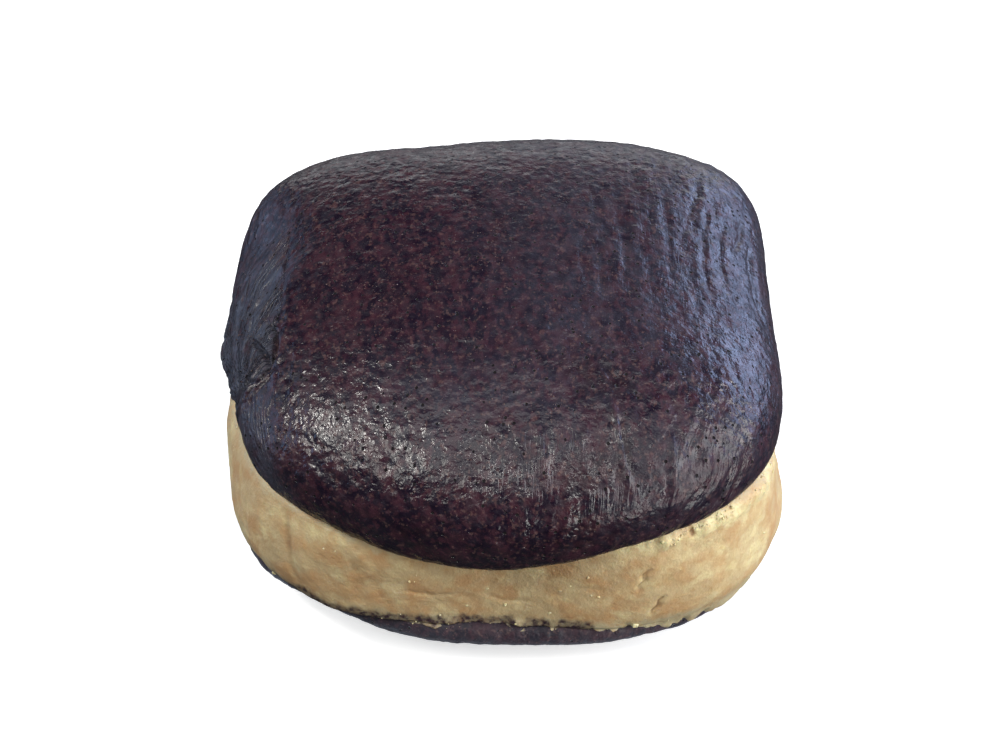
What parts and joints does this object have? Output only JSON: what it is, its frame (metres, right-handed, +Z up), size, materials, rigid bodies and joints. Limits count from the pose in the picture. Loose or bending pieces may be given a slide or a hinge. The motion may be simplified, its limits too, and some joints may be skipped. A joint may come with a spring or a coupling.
{
  "type": "whoopie pie",
  "caption": "Rounded-square whoopie pie: a soft glossy cocoa cake above and below a thick layer of tan peanut cream, pressed flat on one side.",
  "frame": {"origin": "on the surface that the pie stands on, under the middle of its bounding box", "axes": "+Z up through the layers, -Y towards the front, +X to the right seen from the front"},
  "size_m": [0.0886, 0.0892, 0.048],
  "materials": {
    "cocoa_skin": "dark purplish cocoa-brown cake skin, sticky and wrinkled, with a soft broken gloss",
    "peanut_cream": "tan peanut cream pressed smooth by a wrapper, nearly matt, with paler and more orange patches",
    "cocoa_underside": "dark cocoa cake, duller than the top, with a ragged smear of cream at its rim"
  },
  "bodies": {
    "root": {"bottom_cake": "cocoa_underside", "cream": "peanut_cream", "top_cake": "cocoa_skin"}
  },
  "joints": []
}
